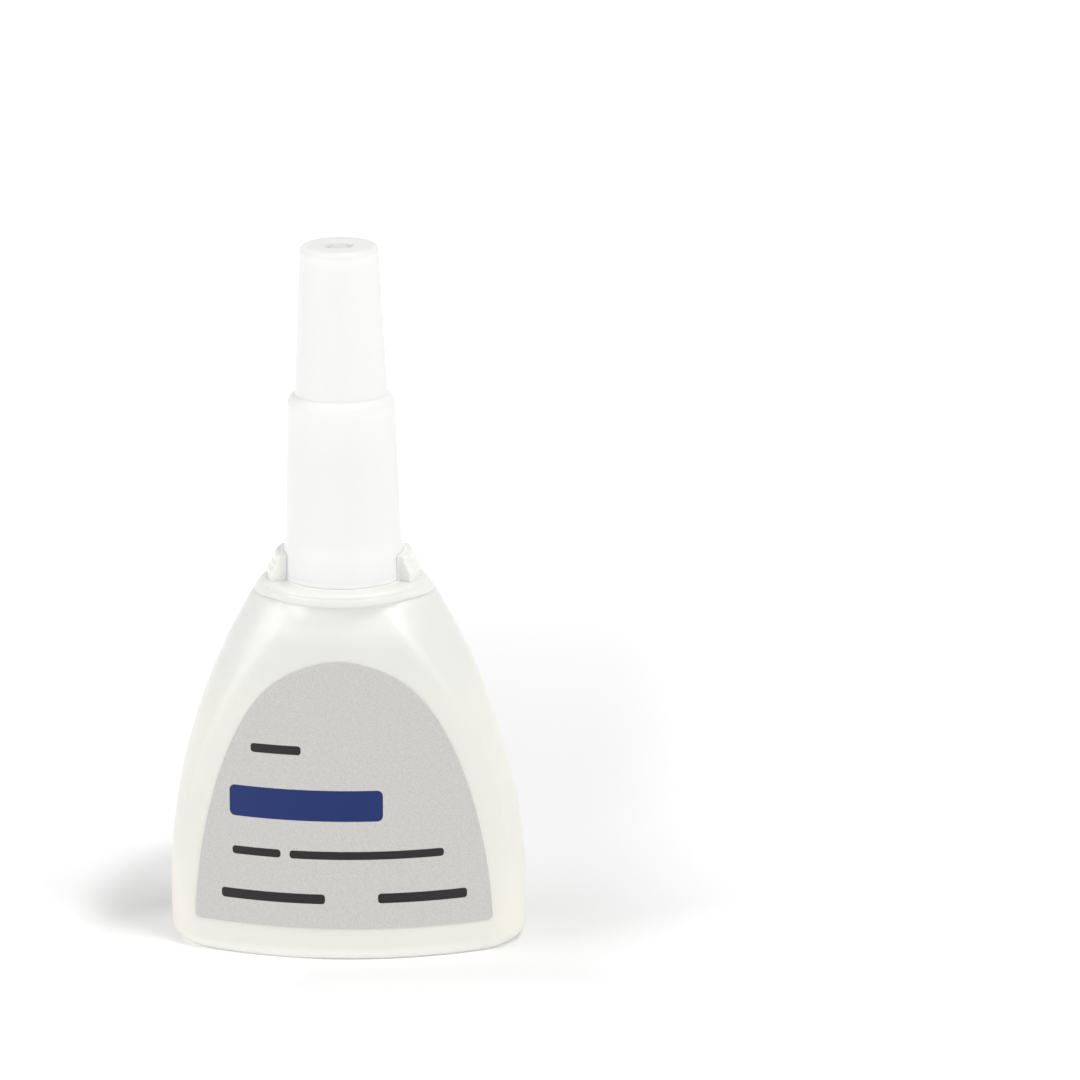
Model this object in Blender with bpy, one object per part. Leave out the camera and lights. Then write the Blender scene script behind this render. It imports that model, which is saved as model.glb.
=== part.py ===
# Squeeze bottle of instant adhesive: an oval blow-moulded flask with crowned label panels front
# and back, a round neck, a plug-in dropper nozzle, a tall two-stage screw cap with a steel
# sealing pin in its top, the liquid inside and a label on the front panel.
# Metres, +Z up, front faces -Y, origin on the resting plane under the neck's axis.

import math

import bmesh
import bpy
from mathutils import Matrix

MM = 0.001

# Clearances
SEAT_GAP = 0.25 * MM  # between a piece and what it rests on or sits in
PIN_GAP = 0.20 * MM  # round the steel pin, in the cap's top
LUG_GAP = 0.30 * MM  # between the cap's band and the lugs beside it
THREAD_ZONE = 1.05 * MM  # room for the two threads, between the neck and the cap

# Flask: side view from the front
BODY_HALF_WIDTH = 21.7 * MM  # the widest half-width
WIDEST_Z = 5.4 * MM  # height of the widest section
SIDE_ARC_RADIUS = 74.3 * MM  # the bell's side is one arc of this radius
SHOULDER_Z = 43.8 * MM  # top of the bell, underside of the neck ring

# Flask: side view from the side
OVAL_HALF_DEPTH = 12.9 * MM  # the oval at the base, before the panels cut it
DEPTH_ARC_RADIUS = 217.0 * MM  # the oval's depth falls along one arc of this radius
PANEL_HALF_DEPTH = 11.5 * MM  # the panels at the base, on the centre line
PANEL_LEAN = 0.0727  # how far a panel leans back for each unit of height
CROWN_RADIUS_BASE = 34.0 * MM  # sideways bulge of the panels at the base
CROWN_GROWTH = 0.28  # how much that radius grows for each unit of height
CREASE_BLEND = 1.3 * MM  # softness of the crease between panel and side
LEAST_CREASE = 2.5 * MM  # half-width kept for the panel's columns where the crease has closed

# Flask: wall, base and neck
WALL = 0.95 * MM
SIDE_FILLET = 2.0 * MM  # rounding of the base's edge at the sides
PANEL_FILLET = 1.0 * MM  # the same under the panels
FILLET_POWER = 4  # more keeps the narrow rounding further towards the sides
LAND_WIDTH = 2.4 * MM  # flat band that the flask stands on, at the sides
PUSH_UP = 0.7 * MM  # height of the base's hollow
PUSH_UP_SLOPE = 1.6 * MM  # width of the slope round the hollow
RING_RADIUS = 9.9 * MM
RING_HEIGHT = 1.6 * MM
RING_CORNER = 0.7 * MM
RING_RUN_OUT = 0.48 * MM  # height under the ring over which the bell meets it
NECK_RADIUS = 5.0 * MM
NECK_HEIGHT = 10.5 * MM
NECK_ROOT = 0.6 * MM  # fillet at the foot of the neck
NECK_LIP = 0.35 * MM  # chamfer round the mouth
NECK_BORE_RADIUS = 3.9 * MM
ROOF_RISE = 1.1 * MM  # how far the inner roof climbs from the wall to the bore

# Lugs on the ring, left and right, beside the cap's rim
LUG_HEIGHT = 3.1 * MM
LUG_TOP_THICKNESS = 0.85 * MM
LUG_FOOT_THICKNESS = 1.6 * MM
LUG_STEP_HEIGHT = 1.2 * MM
LUG_HALF_ANGLE = math.radians(24)
LUG_EDGE = 0.15 * MM
LUG_SINK = 0.5 * MM  # how deep a lug's root runs into the ring before they are joined

# Liquid
FILL_LEVEL = 35.4 * MM  # 18.9 ml, 20 g of adhesive
FILL_HEEL = 1.4 * MM  # radius round the foot of the liquid and of the flask's inside

# Nozzle
PLUG_LENGTH = 6.5 * MM
PLUG_RIBS = 2
PLUG_RIB = 0.22 * MM  # how far the sealing ribs stand out
PLUG_RIB_HALF_FOOT = 0.44 * MM
PLUG_RIB_HALF_CREST = 0.11 * MM
PLUG_LEAD = 1.0 * MM  # tapered end of the plug
PLUG_LEAD_INSET = 0.25 * MM
FLANGE_RADIUS = 4.8 * MM
FLANGE_THICKNESS = 1.2 * MM
SPOUT_FOOT_RADIUS = 3.4 * MM
SPOUT_SHOULDER = 1.6 * MM  # height of the cone between flange and spout
SPOUT_NECK_RADIUS = 2.6 * MM
SPOUT_TIP_RADIUS = 1.30 * MM
SPOUT_TIP_CLEARANCE = 3.0 * MM  # between the spout's tip and the cap's ceiling
NOZZLE_WALL = 0.8 * MM
NOZZLE_WEB = 3.0 * MM  # height over which the plug's bore narrows to the spout's
ORIFICE_RADIUS = 0.62 * MM
ORIFICE_LENGTH = 5.0 * MM

# Cap
CAP_WALL = 1.05 * MM
CAP_BAND = 0.22 * MM  # how far the band at the cap's foot stands out
CAP_BAND_HEIGHT = 4.1 * MM
CAP_BAND_SLOPE = 0.3 * MM  # height of the slope over the band
LOWER_STAGE_HEIGHT = 21.15 * MM
LOWER_STAGE_DRAFT = 0.0275  # inward lean of the lower stage
STEP_RADIUS = 1.45 * MM  # rounding of the step between the stages
UPPER_FOOT_RADIUS = 5.64 * MM
UPPER_STAGE_HEIGHT = 18.2 * MM  # from the step's rounding to the top
UPPER_STAGE_DRAFT = 0.049
UPPER_WALL = 0.9 * MM
CAP_TOP_THICKNESS = 1.9 * MM
CAP_TOP_EDGE = 0.7 * MM
DIMPLE_MOUTH_RADIUS = 1.65 * MM
DIMPLE_FLOOR_RADIUS = 1.40 * MM
DIMPLE_DEPTH = 0.75 * MM
CAP_SEAT_CLEARANCE = 5.5 * MM  # between the nozzle's flange and the cap's inner step

# Pin
PIN_RADIUS = 0.40 * MM
PIN_HEAD_RADIUS = 1.15 * MM
PIN_HEAD_HEIGHT = 0.40 * MM
PIN_HEAD_RIM = 0.20 * MM  # height of the head's upright rim
PIN_CROWN_RADIUS = 0.85 * MM
PIN_CROWN_HEIGHT = 0.34 * MM
PIN_ENGAGEMENT = 4.0 * MM  # how deep the pin stands in the spout's orifice
PIN_POINT = 0.8 * MM
PIN_NOSE = 0.2 * MM  # height of the blunt nose, half as wide as the pin

# Label
LABEL_HALF_WIDTH = 18.0 * MM
LABEL_BOTTOM_Z = 4.0 * MM
LABEL_HEIGHT = 32.8 * MM
LABEL_RISE_POWER = 1.6  # both powers at 2 make an ellipse, more of either is squarer
LABEL_WIDTH_POWER = 2.5
LABEL_THICKNESS = 0.12 * MM
LABEL_TIP = 0.985  # share of a quarter turn at which the label's top row lies

# How finely the surfaces are divided
SIDE_STEPS = 8
PANEL_STEPS = 8
BODY_ROWS = 14
INNER_ROWS = 11
FILL_ROWS = 7
FILLET_STEPS = 3
TURN_STEPS = 48
LUG_STEPS = 6
ROOT_STEPS = 2
STEP_STEPS = 5
LABEL_ROWS = 14
LABEL_COLUMNS = 12

# Heights and radii that follow from the sizes above
RING_TOP_Z = SHOULDER_Z + RING_HEIGHT
NECK_TOP_Z = RING_TOP_Z + NECK_HEIGHT
CAP_RIM_Z = RING_TOP_Z + SEAT_GAP
CAP_BORE_RADIUS = NECK_RADIUS + THREAD_ZONE
CAP_RIM_RADIUS = CAP_BORE_RADIUS + CAP_WALL
CAP_STEP_Z = CAP_RIM_Z + LOWER_STAGE_HEIGHT
CAP_STEP_RADIUS = CAP_RIM_RADIUS - LOWER_STAGE_DRAFT * LOWER_STAGE_HEIGHT
STEP_CENTRE_RADIUS = CAP_STEP_RADIUS - STEP_RADIUS
STEP_TURN = math.acos((UPPER_FOOT_RADIUS - STEP_CENTRE_RADIUS) / STEP_RADIUS)
UPPER_FOOT_Z = CAP_STEP_Z + STEP_RADIUS * math.sin(STEP_TURN)
CAP_TOP_Z = UPPER_FOOT_Z + UPPER_STAGE_HEIGHT
CAP_TOP_RADIUS = UPPER_FOOT_RADIUS - UPPER_STAGE_DRAFT * UPPER_STAGE_HEIGHT
CAP_CEILING_Z = CAP_TOP_Z - CAP_TOP_THICKNESS
FLANGE_Z = NECK_TOP_Z + SEAT_GAP
FLANGE_TOP_Z = FLANGE_Z + FLANGE_THICKNESS
SPOUT_TIP_Z = CAP_CEILING_Z - SPOUT_TIP_CLEARANCE
LUG_INNER_RADIUS = CAP_RIM_RADIUS + CAP_BAND + LUG_GAP
PIN_HEAD_Z = CAP_TOP_Z - DIMPLE_DEPTH + PIN_GAP
PIN_HOLE_RADIUS = PIN_RADIUS + PIN_GAP


def half_width(z):
    """Half-width of the bell at height z: one arc, upright at WIDEST_Z."""
    rise = z - WIDEST_Z
    return BODY_HALF_WIDTH - SIDE_ARC_RADIUS + math.sqrt(SIDE_ARC_RADIUS**2 - rise**2)


def half_depth(z):
    """Half-depth of the oval at height z, before the panels cut it."""
    return OVAL_HALF_DEPTH - DEPTH_ARC_RADIUS + math.sqrt(DEPTH_ARC_RADIUS**2 - z**2)


def panel_depth(x, z):
    """Distance of the front panel's surface from the middle plane, at x and z."""
    crown = CROWN_RADIUS_BASE + CROWN_GROWTH * z
    return PANEL_HALF_DEPTH - PANEL_LEAN * z - x * x / (2 * crown)


def crease_half_width(z):
    """Where the panel meets the oval at height z, found by halving."""
    a, b = half_width(z), half_depth(z)
    low, high = 0.0, a
    for _ in range(40):
        middle = (low + high) / 2
        if b * math.sqrt(1 - (middle / a) ** 2) > panel_depth(middle, z):
            low = middle
        else:
            high = middle
    return max(low, LEAST_CREASE)


def section_radius(angle, z):
    """Polar radius of the flask's outline at height z: oval and panel, blended at the crease."""
    a, b = half_width(z), half_depth(z)
    c, s = abs(math.cos(angle)), abs(math.sin(angle))
    oval = a * b / math.hypot(b * c, a * s)
    depth = panel_depth(0, z)
    crown = CROWN_RADIUS_BASE + CROWN_GROWTH * z
    panel = 2 * depth / (s + math.sqrt(s * s + 2 * depth * c * c / crown))
    near = max(CREASE_BLEND - abs(oval - panel), 0) / CREASE_BLEND
    return min(oval, panel) - near * near * CREASE_BLEND / 4


def section_angles(z):
    """Angles round the section whose columns follow the crease, so that it stays one clean edge."""
    crease = crease_half_width(z)
    a, b = half_width(z), half_depth(z)
    turn = math.acos(crease / a)
    quarter = []
    for i in range(SIDE_STEPS):
        t = turn * i / SIDE_STEPS
        quarter.append(math.atan2(b * math.sin(t), a * math.cos(t)))
    for i in range(PANEL_STEPS):
        x = crease * (1 - i / PANEL_STEPS)
        quarter.append(math.atan2(panel_depth(x, z), x))
    half = quarter + [math.pi / 2] + [math.pi - angle for angle in reversed(quarter[1:])]
    return half + [angle + math.pi for angle in half]


def even_angles(count):
    return [2 * math.pi * i / count for i in range(count)]


def section(z, inset=0.0):
    """The flask's outline at height z as points, moved inward along its normals by inset,
    which is one length or a list with one for each column."""
    angles = section_angles(z)
    insets = inset if isinstance(inset, list) else [inset] * len(angles)
    radii = [section_radius(angle, z) for angle in angles]
    points = [(r * math.cos(t), r * math.sin(t)) for r, t in zip(radii, angles)]
    moved = []
    for i, (x, y) in enumerate(points):
        x0, y0 = points[i - 1]
        x1, y1 = points[(i + 1) % len(points)]
        share = insets[i] / math.hypot(x1 - x0, y1 - y0)
        moved.append((x - share * (y1 - y0), y + share * (x1 - x0)))
    return moved


def fillet_insets(z):
    """How far the rounding of the base's edge draws in each column at height z."""
    insets = []
    for angle in section_angles(z):
        across = section_radius(angle, z) * abs(math.cos(angle)) / half_width(z)
        radius = PANEL_FILLET + (SIDE_FILLET - PANEL_FILLET) * across**FILLET_POWER
        below = max(radius - z, 0)
        insets.append(radius - math.sqrt(radius**2 - below**2))
    return insets


def ring_section(z, inset=0.0):
    """The outline where the bell runs into the neck ring: whichever reaches further out."""
    points = []
    for angle in section_angles(SHOULDER_Z):
        radius = max(section_radius(angle, z), RING_RADIUS) - inset
        points.append((radius * math.cos(angle), radius * math.sin(angle)))
    return points


def circle(radius, count):
    return [(radius * math.cos(t), radius * math.sin(t)) for t in even_angles(count)]


def loft(name, rows):
    """A closed mesh through rows of (points, z), with a flat face over the first and last row."""
    mesh = bpy.data.meshes.new(name)
    bm = bmesh.new()
    loops = [[bm.verts.new((x, y, z)) for x, y in points] for points, z in rows]
    for lower, upper in zip(loops, loops[1:]):
        for i in range(len(lower)):
            bm.faces.new((lower[i - 1], lower[i], upper[i], upper[i - 1]))
    bm.faces.new(reversed(loops[0]))
    bm.faces.new(loops[-1])
    bmesh.ops.recalc_face_normals(bm, faces=bm.faces)
    bm.to_mesh(mesh)
    bm.free()
    return mesh


def turned(name, profile, steps=TURN_STEPS):
    """A closed mesh from a closed profile of (radius, z) turned about the Z axis.
    A radius of zero makes a point on the axis."""
    mesh = bpy.data.meshes.new(name)
    bm = bmesh.new()
    loops = []
    for radius, z in profile:
        if radius == 0:
            loops.append([bm.verts.new((0, 0, z))] * steps)
        else:
            loops.append([bm.verts.new((x, y, z)) for x, y in circle(radius, steps)])
    for j in range(len(loops)):
        lower, upper = loops[j - 1], loops[j]
        for i in range(steps):
            corners = [lower[i - 1], lower[i], upper[i], upper[i - 1]]
            corners = list(dict.fromkeys(corners))
            if len(corners) > 2:
                bm.faces.new(corners)
    bmesh.ops.recalc_face_normals(bm, faces=bm.faces)
    bm.to_mesh(mesh)
    bm.free()
    return mesh


def material(name, colour, roughness, metallic=0.0):
    made = bpy.data.materials.new(name)
    made.use_nodes = True
    shader = made.node_tree.nodes["Principled BSDF"]
    shader.inputs["Base Color"].default_value = (*colour, 1)
    shader.inputs["Roughness"].default_value = roughness
    shader.inputs["Metallic"].default_value = metallic
    return made


def place(name, mesh, look, parent=None, smooth=math.radians(35)):
    mesh.shade_smooth()
    mesh.set_sharp_from_angle(angle=smooth)
    mesh.materials.append(look)
    obj = bpy.data.objects.new(name, mesh)
    bpy.context.collection.objects.link(obj)
    obj.parent = parent
    return obj


def corner_rows(radius, steps):
    """Rows of a quarter round: (inset, height) from the flat to the upright side."""
    turns = [math.pi / 2 * i / steps for i in range(steps + 1)]
    return [(radius * (1 - math.sin(t)), radius * (1 - math.cos(t))) for t in turns]


def drawn_in(inset):
    """The base's outline shrunk towards its middle, for the hollow underneath."""
    across = 1 - inset / half_width(0)
    along = 1 - inset / panel_depth(0, 0)
    return [(x * across, y * along) for x, y in section(0)]


def flask_rows():
    """Rows up the outside of the flask, over the mouth and down the inside to the floor."""
    land_edge = SIDE_FILLET + LAND_WIDTH
    rows = [(drawn_in(land_edge + PUSH_UP_SLOPE), PUSH_UP), (drawn_in(land_edge), 0)]
    rows += [(section(z, fillet_insets(z)), z) for _, z in corner_rows(SIDE_FILLET, FILLET_STEPS)]
    under_ring = SHOULDER_Z - RING_RUN_OUT
    for i in range(1, BODY_ROWS + 1):
        z = SIDE_FILLET + (under_ring - SIDE_FILLET) * i / BODY_ROWS
        rows.append((section(z), z))
    rows.append((ring_section(SHOULDER_Z), SHOULDER_Z))
    for inset, drop in reversed(corner_rows(RING_CORNER, FILLET_STEPS)):
        z = RING_TOP_Z - drop
        rows.append((ring_section(z, inset), z))

    count = len(rows[0][0])
    for inset, rise in corner_rows(NECK_ROOT, ROOT_STEPS):
        rows.append((circle(NECK_RADIUS + inset, count), RING_TOP_Z + rise))
    for radius, z in (
        (NECK_RADIUS, NECK_TOP_Z - NECK_LIP),
        (NECK_RADIUS - NECK_LIP, NECK_TOP_Z),
        (NECK_BORE_RADIUS, NECK_TOP_Z),
        (NECK_BORE_RADIUS, SHOULDER_Z - WALL + ROOF_RISE),
    ):
        rows.append((circle(radius, count), z))

    eaves = SHOULDER_Z - WALL
    rows.append((section(eaves - ROOF_RISE, WALL + ROOF_RISE), eaves))
    rows.append((section(eaves - ROOF_RISE, WALL), eaves - ROOF_RISE))
    floor = PUSH_UP + WALL
    heel_top = floor + FILL_HEEL
    for i in range(1, INNER_ROWS + 1):
        z = eaves - ROOF_RISE - (eaves - ROOF_RISE - heel_top) * i / INNER_ROWS
        rows.append((section(z, WALL), z))
    for inset, rise in list(reversed(corner_rows(FILL_HEEL, FILLET_STEPS)))[1:]:
        z = floor + rise
        rows.append((section(z, WALL + inset), z))
    return rows


def lug_mesh(name):
    """One stepped lug: its profile turned through a short arc about the neck's axis."""
    inner = LUG_INNER_RADIUS
    foot = inner + LUG_FOOT_THICKNESS
    top = inner + LUG_TOP_THICKNESS
    step = (foot - top) / 2
    base_z = RING_TOP_Z - LUG_SINK
    top_z = RING_TOP_Z + LUG_HEIGHT
    profile = [
        (inner, base_z),
        (foot, base_z),
        (foot, RING_TOP_Z + LUG_STEP_HEIGHT),
        (foot - step, RING_TOP_Z + LUG_STEP_HEIGHT + step),
        (foot - step, top_z - LUG_STEP_HEIGHT),
        (top, top_z - LUG_STEP_HEIGHT + step),
        (top, top_z),
        (inner, top_z),
    ]
    mesh = bpy.data.meshes.new(name)
    bm = bmesh.new()
    face = bm.faces.new([bm.verts.new((r, 0, z)) for r, z in profile])
    turn_back = Matrix.Rotation(-LUG_HALF_ANGLE, 3, "Z")
    bmesh.ops.rotate(bm, verts=bm.verts, cent=(0, 0, 0), matrix=turn_back)
    bmesh.ops.spin(
        bm,
        geom=[face],
        cent=(0, 0, 0),
        axis=(0, 0, 1),
        angle=2 * LUG_HALF_ANGLE,
        steps=LUG_STEPS,
        use_duplicate=False,
    )
    bmesh.ops.contextual_create(bm, geom=[e for e in bm.edges if e.is_boundary])
    bmesh.ops.recalc_face_normals(bm, faces=bm.faces)
    bm.to_mesh(mesh)
    bm.free()
    return mesh


def make_flask(look):
    """The blow-moulded flask, with its two lugs joined on."""
    flask = place("flask", loft("flask", flask_rows()), look)
    for side, turn in (("left", math.pi), ("right", 0)):
        lug = place("lug_" + side, lug_mesh("lug_" + side), look)
        lug.rotation_euler.z = turn
        lug.hide_render = True
        lug.display_type = "WIRE"
        edge = lug.modifiers.new("edge", "BEVEL")
        edge.width = LUG_EDGE
        edge.segments = 1
        edge.limit_method = "ANGLE"
        edge.angle_limit = math.radians(60)
        join = flask.modifiers.new("join_" + side, "BOOLEAN")
        join.operation = "UNION"
        join.solver = "EXACT"
        join.object = lug
    return flask


def make_fill(look):
    """The liquid: the flask's inside, drawn in by the gap, up to the fill level."""
    floor = PUSH_UP + WALL + SEAT_GAP
    inset = WALL + SEAT_GAP
    rows = []
    for extra, rise in corner_rows(FILL_HEEL, FILLET_STEPS):
        rows.append((section(floor + rise, inset + extra), floor + rise))
    heel_top = floor + FILL_HEEL
    for i in range(1, FILL_ROWS + 1):
        z = heel_top + (FILL_LEVEL - heel_top) * i / FILL_ROWS
        rows.append((section(z, inset), z))
    return place("adhesive_fill", loft("adhesive_fill", rows), look)


def make_nozzle(look):
    """Dropper nozzle: ribbed plug in the neck, flange on its mouth, tapered spout, bore through."""
    plug = NECK_BORE_RADIUS - SEAT_GAP
    core = plug - PLUG_RIB
    bottom = FLANGE_Z - PLUG_LENGTH
    rib_pitch = (PLUG_LENGTH - PLUG_LEAD) / (PLUG_RIBS + 1)
    profile = [(core - NOZZLE_WALL, bottom), (core - PLUG_LEAD_INSET, bottom)]
    profile.append((core, bottom + PLUG_LEAD))
    for i in range(1, PLUG_RIBS + 1):
        middle = bottom + PLUG_LEAD + rib_pitch * i
        profile += [
            (core, middle - PLUG_RIB_HALF_FOOT),
            (plug, middle - PLUG_RIB_HALF_CREST),
            (plug, middle + PLUG_RIB_HALF_CREST),
            (core, middle + PLUG_RIB_HALF_FOOT),
        ]
    spout_z = FLANGE_TOP_Z + SPOUT_SHOULDER
    profile += [
        (core, FLANGE_Z),
        (FLANGE_RADIUS, FLANGE_Z),
        (FLANGE_RADIUS, FLANGE_TOP_Z),
        (SPOUT_FOOT_RADIUS, FLANGE_TOP_Z),
        (SPOUT_NECK_RADIUS, spout_z),
        (SPOUT_TIP_RADIUS, SPOUT_TIP_Z),
        (ORIFICE_RADIUS, SPOUT_TIP_Z),
        (ORIFICE_RADIUS, SPOUT_TIP_Z - ORIFICE_LENGTH),
        (SPOUT_NECK_RADIUS - NOZZLE_WALL, spout_z),
        (core - NOZZLE_WALL, FLANGE_Z - NOZZLE_WEB),
    ]
    return place("nozzle", turned("nozzle", profile), look)


def make_cap(look, parent):
    """Two-stage cap: band, tapered skirt, rounded step, tapered tip, dimple and pin hole."""
    band_height = CAP_BAND_HEIGHT - CAP_BAND_SLOPE
    outside = [
        (CAP_RIM_RADIUS + CAP_BAND, CAP_RIM_Z),
        (CAP_RIM_RADIUS + CAP_BAND - LOWER_STAGE_DRAFT * band_height, CAP_RIM_Z + band_height),
        (CAP_RIM_RADIUS - LOWER_STAGE_DRAFT * CAP_BAND_HEIGHT, CAP_RIM_Z + CAP_BAND_HEIGHT),
    ]
    for i in range(STEP_STEPS + 1):
        turn = STEP_TURN * i / STEP_STEPS
        outside.append(
            (STEP_CENTRE_RADIUS + STEP_RADIUS * math.cos(turn), CAP_STEP_Z + STEP_RADIUS * math.sin(turn))
        )
    for inset, drop in reversed(corner_rows(CAP_TOP_EDGE, FILLET_STEPS)):
        outside.append((CAP_TOP_RADIUS - inset, CAP_TOP_Z - drop))
    top = [
        (DIMPLE_MOUTH_RADIUS, CAP_TOP_Z),
        (DIMPLE_FLOOR_RADIUS, CAP_TOP_Z - DIMPLE_DEPTH),
        (PIN_HOLE_RADIUS, CAP_TOP_Z - DIMPLE_DEPTH),
        (PIN_HOLE_RADIUS, CAP_CEILING_Z),
    ]
    inner_step_z = FLANGE_TOP_Z + CAP_SEAT_CLEARANCE
    inner_step_rise = inner_step_z - CAP_RIM_Z
    upper_foot_inner = UPPER_FOOT_RADIUS - UPPER_WALL
    inside = [
        (CAP_TOP_RADIUS - UPPER_WALL, CAP_CEILING_Z),
        (upper_foot_inner, inner_step_z + UPPER_WALL),
        (CAP_BORE_RADIUS - LOWER_STAGE_DRAFT * inner_step_rise, inner_step_z),
        (CAP_BORE_RADIUS, CAP_RIM_Z),
    ]
    return place("cap_shell", turned("cap_shell", outside + top + inside), look, parent)


def make_pin(look, parent):
    """Steel pin: domed head in the cap's dimple, shank down into the spout's orifice."""
    tip = SPOUT_TIP_Z - PIN_ENGAGEMENT
    profile = [
        (0, tip),
        (PIN_RADIUS / 2, tip + PIN_NOSE),
        (PIN_RADIUS, tip + PIN_POINT),
        (PIN_RADIUS, PIN_HEAD_Z),
        (PIN_HEAD_RADIUS, PIN_HEAD_Z),
        (PIN_HEAD_RADIUS, PIN_HEAD_Z + PIN_HEAD_RIM),
        (PIN_CROWN_RADIUS, PIN_HEAD_Z + PIN_CROWN_HEIGHT),
        (0, PIN_HEAD_Z + PIN_HEAD_HEIGHT),
    ]
    return place("sealing_pin", turned("sealing_pin", profile, TURN_STEPS // 2), look, parent)


def label_half_width(z):
    share = (z - LABEL_BOTTOM_Z) / LABEL_HEIGHT
    return LABEL_HALF_WIDTH * (1 - share**LABEL_RISE_POWER) ** (1 / LABEL_WIDTH_POWER)


def grid_border(grid):
    """The outer points of a grid of rows, in order round it."""
    right = [row[-1] for row in grid[1:]]
    left = [row[0] for row in reversed(grid[1:-1])]
    return grid[0] + right + grid[-1][-2::-1] + left


def make_label(look):
    """Thin arch-shaped label that follows the crowned, leaning front panel."""
    bm = bmesh.new()
    skins = []
    for lift in (SEAT_GAP, SEAT_GAP + LABEL_THICKNESS):
        grid = []
        for j in range(LABEL_ROWS + 1):
            share = math.sin(math.pi / 2 * LABEL_TIP * j / LABEL_ROWS)
            z = LABEL_BOTTOM_Z + LABEL_HEIGHT * share
            width = label_half_width(z)
            row = []
            for i in range(LABEL_COLUMNS + 1):
                x = width * (2 * i / LABEL_COLUMNS - 1)
                row.append(bm.verts.new((x, -panel_depth(x, z) - lift, z)))
            grid.append(row)
        skins.append(grid)
    back, front = skins
    for grid in skins:
        for lower, upper in zip(grid, grid[1:]):
            for i in range(LABEL_COLUMNS):
                bm.faces.new((lower[i], lower[i + 1], upper[i + 1], upper[i]))
    back_edge, front_edge = grid_border(back), grid_border(front)
    for i in range(len(back_edge)):
        bm.faces.new((back_edge[i - 1], back_edge[i], front_edge[i], front_edge[i - 1]))
    bmesh.ops.recalc_face_normals(bm, faces=bm.faces)
    mesh = bpy.data.meshes.new("front_label")
    bm.to_mesh(mesh)
    bm.free()
    return place("front_label", mesh, look)


def axis_empty(name, z, parent=None):
    """An empty on the neck's axis: the frame of a moving body."""
    empty = bpy.data.objects.new(name, None)
    empty.empty_display_size = 10 * MM
    empty.location.z = z
    bpy.context.collection.objects.link(empty)
    empty.parent = parent
    return empty


def main():
    for obj in list(bpy.data.objects):
        bpy.data.objects.remove(obj, do_unlink=True)
    natural = material("natural_polyethylene", (0.84, 0.85, 0.78), 0.45)
    frosted = material("frosted_polypropylene", (0.93, 0.93, 0.91), 0.5)
    nozzle_look = material("nozzle_polyethylene", (0.90, 0.91, 0.88), 0.4)
    liquid = material("adhesive", (0.92, 0.91, 0.84), 0.05)
    steel = material("pin_steel", (0.45, 0.45, 0.44), 0.35, 1.0)
    label = material("label_film", (0.60, 0.59, 0.58), 0.6, 0.3)

    make_flask(natural)
    make_fill(liquid)
    make_nozzle(nozzle_look)
    make_label(label)
    cap_axis = axis_empty("cap_axis", 0)
    make_cap(frosted, cap_axis)
    make_pin(steel, cap_axis)


main()
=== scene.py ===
import math

import bmesh
import bpy
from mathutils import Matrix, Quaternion, Vector


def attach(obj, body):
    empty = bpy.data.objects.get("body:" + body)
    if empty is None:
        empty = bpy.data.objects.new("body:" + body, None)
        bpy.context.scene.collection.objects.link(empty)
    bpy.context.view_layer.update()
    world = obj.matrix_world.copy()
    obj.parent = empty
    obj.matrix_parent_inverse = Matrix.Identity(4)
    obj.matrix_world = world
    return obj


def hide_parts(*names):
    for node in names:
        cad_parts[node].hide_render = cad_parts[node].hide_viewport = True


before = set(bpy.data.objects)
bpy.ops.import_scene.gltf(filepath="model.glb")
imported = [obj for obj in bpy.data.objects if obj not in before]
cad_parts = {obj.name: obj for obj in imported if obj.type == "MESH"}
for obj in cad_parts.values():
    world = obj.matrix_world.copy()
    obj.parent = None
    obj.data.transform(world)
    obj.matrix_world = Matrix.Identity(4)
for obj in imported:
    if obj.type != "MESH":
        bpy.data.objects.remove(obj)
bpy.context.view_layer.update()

mm = 0.001
fullTurn = 2 * math.pi
onAxis = 1e-6  # a point nearer to the axis than this lies on it
halvings = 40  # rounds of a search by halving
noiseLow = 0.3  # a noise's usual values start here
noiseSpan = 0.4  # and go this much higher
mostSoft = 0.48  # share of a straight run that one rounding may take
sharpEdge = 40.0  # degrees from which an edge is shaded sharp
flatStretch = (1, 1, 1e6)  # leaves only a place's x and y


def addObject(name, data):
    obj = bpy.data.objects.new(name, data)
    bpy.context.scene.collection.objects.link(obj)
    return obj


# Camera
view = {
    "azimuth": 3.6,  # degrees round the bottle, to its right
    "elevation": 15.0,  # degrees above the horizon
    "distance": 1200.0,
    "lens": 331.0,
    "sensor": 36.0,
    "clip": (0.05, 20.0),  # metres
    "rightOfAxis": 23.75,  # where the middle of the picture lies, beside the neck's axis
    "height": 49.4,
    "roll": -0.6,  # degrees
}


def makeCamera(spec):
    turn = math.radians(spec["azimuth"])
    tilt = math.radians(spec["elevation"])
    back = Vector((math.sin(turn) * math.cos(tilt), -math.cos(turn) * math.cos(tilt), math.sin(tilt)))
    right = Vector((math.cos(turn), math.sin(turn), 0))
    middle = (right * spec["rightOfAxis"] + Vector((0, 0, spec["height"]))) * mm
    data = bpy.data.cameras.new("bottleCamera")
    data.lens = spec["lens"]
    data.sensor_width = spec["sensor"]
    data.clip_start, data.clip_end = spec["clip"]
    camera = addObject("bottleCamera", data)
    camera.location = middle + back * spec["distance"] * mm
    roll = Quaternion((0, 0, 1), math.radians(spec["roll"]))
    camera.rotation_mode = "QUATERNION"
    camera.rotation_quaternion = (-back).to_track_quat("-Z", "Y") @ roll
    bpy.context.scene.camera = camera


makeCamera(view)
print("camera placed")


# Node helpers
def newMaterial(name):
    made = bpy.data.materials.new(name)
    made.use_nodes = True
    return made, made.node_tree, made.node_tree.nodes["Principled BSDF"]


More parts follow.
